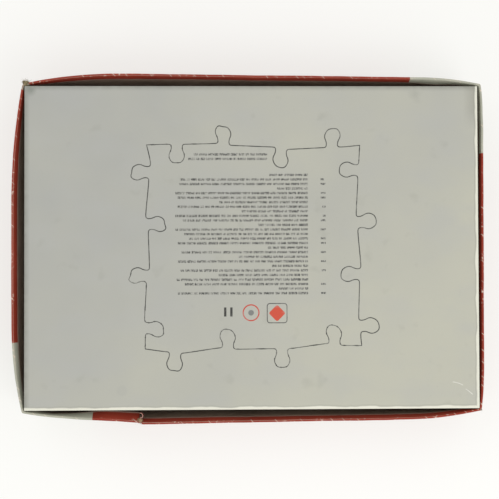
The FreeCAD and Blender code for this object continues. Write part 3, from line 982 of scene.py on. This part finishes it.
def lay_ink(piece, ink):
    """Flattens a drawn piece to a film of ink on the base, partly sunk into it."""
    for vert in piece.data.vertices:
        ground = base_height(vert.co.x, vert.co.y)
        vert.co.z = ground + (INK_PROUD if vert.co.z > BASE_TOP else -INK_SUNK)
    piece.data.update()
    hand_over(piece, "tray", "tray_paper", ink)


def on_base(x, y):
    """A place on the base, measured in millimetres from its middle."""
    return Vector((MIDDLE.x + x * MM, MIDDLE.y + y * MM, BASE_TOP))


def flat_block(name, x, y, size, turn=0):
    """A low block on the base, with its middle and size in millimetres."""
    settle()
    bpy.ops.mesh.primitive_cube_add(
        size=1, location=on_base(x, y), scale=(size[0] * MM, size[1] * MM, 2 * INK_SUNK),
        rotation=(0, 0, math.radians(turn)),
    )  # fmt: skip
    return name_piece(name)


def round_corners(piece, offset, segments):
    pick(piece, "edges", lambda edge: abs(edge.verts[0].co.z - edge.verts[1].co.z) > INK_SUNK)
    bevel(offset, segments)


# The corners of the printed jigsaw block, anticlockwise from its front left one, and the knobs
# of each side in that order. Each knob has the place of its middle along the side, how far out
# its left and right feet are, whether it stands out (1) or in (-1), and how far its head leans.
# All are in millimetres, along the side and out from it, from the middle of the base.
BLOCK_CORNERS = ((-87.2, -82.2), (88.8, -80.4), (88.1, 83.1), (-85.8, 83.6))
BLOCK_KNOBS = (
    ((-62.9, 84.5, 85.6, 1, -0.5), (-20.0, 81.7, 82.9, -1, -0.3), (23.9, 82.5, 82.4, 1, 0.1),
     (66.8, 78.7, 80.2, -1, -0.6)),
    ((-64.4, 88.0, 86.4, 1, 0.4), (-22.2, 87.3, 88.5, -1, 0.2), (20.0, 86.1, 84.8, 1, 1.3),
     (62.8, 86.4, 87.4, -1, 0.5)),
    ((-65.2, 81.6, 81.1, 1, -0.6), (-23.8, 79.9, 81.8, -1, 0.6), (23.2, 83.0, 84.6, 1, 0.4),
     (61.3, 84.2, 84.2, -1, 0.1)),
    ((-61.4, 82.5, 84.0, 1, 0.1), (-19.1, 86.6, 84.5, -1, 0.0), (23.1, 83.5, 86.1, 1, -0.4),
     (65.2, 87.7, 87.1, -1, 1.2)),
)  # fmt: skip
# Half of one knob, from its foot: how far beside its middle, and out from its foot.
KNOB_SHAPE = ((8.6, 0.0), (4.5, 0.2), (4.4, 4.6), (6.9, 9.4), (4.3, 15.0), (0.0, 15.3))


def block_points():
    """The printed jigsaw outline's control points."""
    points = []
    for number, knobs in enumerate(BLOCK_KNOBS):
        turn = Matrix.Rotation(number * math.pi / 2, 2)
        start = Vector(BLOCK_CORNERS[number])
        end = Vector(BLOCK_CORNERS[(number + 1) % 4])
        points += [start, start]
        for middle, left, right, way, lean in knobs:
            for side, level in ((-1, left), (1, right)):
                half = KNOB_SHAPE if side < 0 else KNOB_SHAPE[-2::-1]
                for beside, out in half:
                    along = middle + side * beside + lean * out / 10
                    points.append(turn @ Vector((along, -level - way * out)))
        points += [end]
    return points


def ink_line(name, points, width, closed):
    """A drawn line: a curve of a round pen, made a mesh."""
    settle()
    curve = bpy.data.curves.new(name, "CURVE")
    curve.dimensions = "3D"
    curve.bevel_depth = width / 2
    curve.bevel_resolution = 1
    curve.resolution_u = 4
    spline = curve.splines.new("NURBS")
    spline.points.add(len(points) - 1)
    for point, (x, y) in zip(spline.points, points):
        point.co = (*on_base(x, y), 1)
    spline.order_u = 3
    spline.use_cyclic_u = closed
    spline.use_endpoint_u = not closed
    piece = bpy.data.objects.new(name, curve)
    bpy.context.collection.objects.link(piece)
    take_up(piece)
    bpy.ops.object.convert(target="MESH")
    return name_piece(name)


# The small print, in millimetres: the right end of its lines, the height of the first one, the
# step from one to the next, and how long each is. Some have a short mark to their right.
PRINT_RIGHT = 45.4
PRINT_TOP = 59.0
PRINT_PITCH = 3.71
PRINT_LENGTHS = (
    33, 104, 105, 25, 108, 106, 73, 107, 54, 108, 102, 41, 108, 101,
    97, 106, 35, 103, 58, 106, 30, 104, 74, 107, 101, 24, 106,
)  # fmt: skip
MARKED_LINES = (2, 4, 5, 7, 9, 10, 12, 14, 15, 17, 19, 21, 24, 26)


def print_words(left, right, y, height, luck):
    """Adds one line's words, as flat bars between two ends, to the mesh in edit mode."""
    x = right
    while x - left > 1.2:
        word = min(luck.uniform(2.2, 9.5), x - left)
        size = (word * MM, height * luck.uniform(0.9, 1.1) * MM, 2 * INK_SUNK)
        bpy.ops.mesh.primitive_cube_add(size=1, location=on_base(x - word / 2, y), scale=size)
        x -= word + luck.uniform(0.8, 1.1)


def small_print():
    """Rows of broken bars where a maker's text would be. They hold no letters. The first bar
    is the mark beside the second line."""
    luck = random.Random(21)
    piece = flat_block("base_small_print", PRINT_RIGHT + 12, PRINT_TOP - PRINT_PITCH, (3, 1.7))
    with editing(piece):
        for number, length in enumerate(PRINT_LENGTHS):
            y = PRINT_TOP - number * PRINT_PITCH
            print_words(PRINT_RIGHT - length, PRINT_RIGHT, y, 1.85, luck)
            if number in MARKED_LINES:
                print_words(PRINT_RIGHT + 10.5, PRINT_RIGHT + 14.5, y, 1.6, luck)
        for y, left, right in ((72.1, -52, 12.3), (75.8, -47.5, 12.3)):
            print_words(left, right, y, 1.9, luck)
    lay_ink(piece, printing_ink("small_print_ink", (0.075, 0.075, 0.07), 0.8))


def icon_frame():
    """A rounded square outline with a plain red lozenge in it."""
    x, y = 20.0, -53.7
    piece = flat_block("base_frame_icon", x, y, (16.8, 16.4))
    with editing(piece):
        round_corners(piece, 2.6 * MM, 6)
        pick(piece, "faces", lambda face: abs(face.normal.z) > 0.9)
        bpy.ops.mesh.inset(thickness=0.7 * MM)
        bpy.ops.mesh.bridge_edge_loops()
    lay_ink(piece, printing_ink("line_ink", (0.085, 0.085, 0.08)))
    piece = flat_block("base_lozenge_icon", x, y, (9.8, 9.8), 45)
    with editing(piece):
        round_corners(piece, 1.5 * MM, 4)
    lay_ink(piece, printing_ink("red_ink", (0.56, 0.075, 0.04)))


def icon_ring():
    """A red ring round a small grey disc."""
    middle = on_base(-1.2, -53.3)
    settle()
    bpy.ops.mesh.primitive_torus_add(
        location=middle, major_radius=6.4 * MM, minor_radius=0.75 * MM,
        major_segments=64, minor_segments=6,
    )  # fmt: skip
    lay_ink(name_piece("base_ring_icon"), printing_ink("ring_ink", (0.5, 0.07, 0.045)))
    settle()
    bpy.ops.mesh.primitive_cylinder_add(
        vertices=32, radius=2.3 * MM, depth=2 * INK_SUNK, location=middle
    )
    lay_ink(name_piece("base_disc_icon"), printing_ink("grey_ink", (0.2, 0.2, 0.19)))


def icon_bars():
    """Two short dark bars."""
    bars = [flat_block(f"bar_{x}", x, -52.6, (1.9, 7.4)) for x in (-22.2, -17.2)]
    lay_ink(join("base_bars_icon", bars), printing_ink("bar_ink", (0.045, 0.045, 0.04)))


def print_on_base():
    outline = ink_line("base_block_outline", block_points(), 0.95 * MM, True)
    lay_ink(outline, printing_ink("outline_ink", (0.06, 0.062, 0.055)))
    small_print()
    icon_frame()
    icon_ring()
    icon_bars()
    scratches = (
        ("base_scratch_long", ((163, -110.3), (167.5, -110.6), (171.5, -113))),
        ("base_scratch_short", ((173.7, -116), (176.2, -117.6), (179.4, -120.4))),
    )
    for name, points in scratches:
        scratch = ink_line(name, points, 0.9 * MM, False)
        lay_ink(scratch, printing_ink(f"{name}_tone", (0.66, 0.65, 0.58)))


# ---- the bag and the loose pieces


def film_bag():
    """The sealed bag: film that lies over the pieces and sags round them, with a flat strip
    sealed at each end."""
    low, high = (Vector(corner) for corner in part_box("piece_bag"))
    pillow = Vector((17 * MM, 1 * MM, 0))
    piece = start_box("film_bag", low + pillow, high - pillow)
    with editing(piece):
        bpy.ops.mesh.select_all(action="SELECT")
        bevel(3 * MM)
        for axis, cuts in ((0, 60), (1, 44)):
            cut_along(piece, axis, cuts)
    middle = (low + high) / 2
    for vert in piece.data.vertices:
        if vert.co.z > middle.z:
            away = math.hypot((vert.co.x - middle.x) / 1.15, vert.co.y - middle.y)
            fall = 2.0 * MM * soft_step(70 * MM, 88 * MM, away)
            crease = 0.5 * MM * abs(noise.noise(Vector((vert.co.x, vert.co.y, 0)) * 55))
            vert.co.z -= fall + crease
    finish_with(piece, "SOLIDIFY", thickness=0.08 * MM, offset=-1)
    strips = []
    for side in (-1, 1):
        near = middle.x + side * (high.x - middle.x - 18.5 * MM)
        far = middle.x + side * (high.x - middle.x)
        strip = start_box(
            f"seam_{side}", (min(near, far), low.y + 4 * MM, low.z + 0.1 * MM),
            (max(near, far), high.y - 4 * MM, low.z + 0.35 * MM),
        )  # fmt: skip
        with editing(strip):
            cut_along(strip, 1, 80, 4 * MM)
            cut_along(strip, 0, 6, 4 * MM)
        for vert in strip.data.vertices:
            vert.co.z += 0.5 * MM * (0.5 + 0.5 * math.sin(vert.co.y / (3.1 * MM)))
        strips.append(strip)
    piece = join("film_bag", [piece, *strips])
    smooth(piece, 60)
    hand_over(piece, "bag", "clear_film", clear_film(), "piece_bag")


def outline_islands(mesh):
    """The separate solids of a mesh, each as a list of its faces."""
    left = set(mesh.faces)
    islands = []
    for seed in mesh.faces:
        if seed not in left:
            continue
        island = []
        waiting = [seed]
        left.discard(seed)
        while waiting:
            face = waiting.pop()
            island.append(face)
            for edge in face.edges:
                for other in edge.link_faces:
                    if other in left:
                        left.discard(other)
                        waiting.append(other)
        islands.append(island)
    return islands


def loose_pieces(node, materials, luck):
    """The die-cut pieces of one node: the same outlines with fewer points, a printed side that
    shows its own bit of the picture, a plain back and a board edge."""
    settle()
    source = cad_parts[node]
    piece = bpy.data.objects.new(f"loose_{node}", source.data.copy())
    bpy.context.collection.objects.link(piece)
    with editing(piece):
        bpy.ops.mesh.select_all(action="SELECT")
        bpy.ops.mesh.remove_doubles(threshold=0.01 * MM)
        bpy.ops.mesh.dissolve_limited(angle_limit=math.radians(15))
    mesh = bmesh.new()
    mesh.from_mesh(piece.data)
    for layer in list(mesh.loops.layers.uv):
        mesh.loops.layers.uv.remove(layer)
    picture = mesh.loops.layers.uv.new("picture")
    for island in outline_islands(mesh):
        middle = sum((face.calc_center_median() for face in island), Vector()) / len(island)
        shown = luck.choice((-1, 1))
        turn = Matrix.Rotation(luck.uniform(0, 2 * math.pi), 2)
        corner = Vector((luck.uniform(0.04, 0.96), luck.uniform(0.04, 0.96)))
        for face in island:
            if abs(face.normal.z) < 0.5:
                face.material_index = 2
                continue
            face.material_index = 0 if face.normal.z * shown > 0 else 1
            for loop in face.loops:
                local = turn @ (loop.vert.co - middle).xy
                loop[picture].uv = corner + Vector((local.x / 0.49, local.y / 0.36))
    mesh.to_mesh(piece.data)
    mesh.free()
    piece.data.materials.clear()
    for material in materials:
        piece.data.materials.append(material)
    smooth(piece, 30)
    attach(piece, "bag")
    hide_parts(node)


def contents():
    film_bag()
    luck = random.Random(33)
    materials = (piece_picture(), piece_back(), greyboard("piece_edge"))
    for node in sorted(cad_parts):
        if node.startswith(("corner_pieces", "edge_pieces", "inner_pieces")):
            loose_pieces(node, materials, luck)


# ---- pieces that keep their own shape


def own_shapes():
    for node, material in (
        ("tray_board", greyboard("tray_greyboard")),
        ("tray_corner_stays", kraft_tape()),
    ):
        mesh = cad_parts[node].data
        mesh.materials.clear()
        mesh.materials.append(material)


# ---- the room: a pale floor, soft lights and the camera


def studio():
    settle()
    bpy.ops.mesh.primitive_plane_add(size=6, location=(0, 0, -0.5 * MM))
    floor = name_piece("floor")
    material, tree, shader, place = start_material("light_table", 0.8, 0.1)
    tone = grain(tree, place, 1.3, 2)
    milky = mix(tree, spread(tree, tone, 0.3, 0.7), (0.29, 0.29, 0.28), (0.33, 0.33, 0.32))
    set_colour(tree, shader, milky)
    shader.inputs["Emission Color"].default_value = (1, 0.99, 0.965, 1)
    shader.inputs["Emission Strength"].default_value = 0.64
    floor.data.materials.append(material)

    world = bpy.data.worlds.new("soft_room")
    world.use_nodes = True
    world.node_tree.nodes["Background"].inputs[0].default_value = (0.99, 1, 0.99, 1)
    world.node_tree.nodes["Background"].inputs[1].default_value = 0.88
    bpy.context.scene.world = world
    for name, place, size, power in (
        ("key", (1.0, -1.1, 1.6), 1.4, 14),
        ("fill", (-1.1, 0.8, 1.6), 1.4, 3),
    ):
        light = bpy.data.lights.new(name, "AREA")
        light.size = size
        light.energy = power
        lamp = bpy.data.objects.new(name, light)
        lamp.location = place
        aim = Vector((0, 0, 0.03)) - Vector(place)
        lamp.rotation_euler = aim.to_track_quat("-Z", "Y").to_euler()
        bpy.context.collection.objects.link(lamp)


def camera():
    """Straight above, with the slight tilt of a hand-set stand."""
    lens = bpy.data.cameras.new("overhead")
    lens.sensor_width = 36
    lens.lens = 92.575
    view = bpy.data.objects.new("overhead", lens)
    view.location = (-26.3 * MM, -29.6 * MM, 1.1)
    view.rotation_euler = [math.radians(turn) for turn in (1.563, -1.462, -0.193)]
    bpy.context.collection.objects.link(view)
    bpy.context.scene.camera = view
    bpy.context.scene.view_settings.view_transform = "Standard"


camera()
lid_board_shell()
lid_corner_tapes()
lid_wrap_skin()
torn_places()
tray_wrap_skin()
print_on_base()
contents()
own_shapes()
studio()
settle()
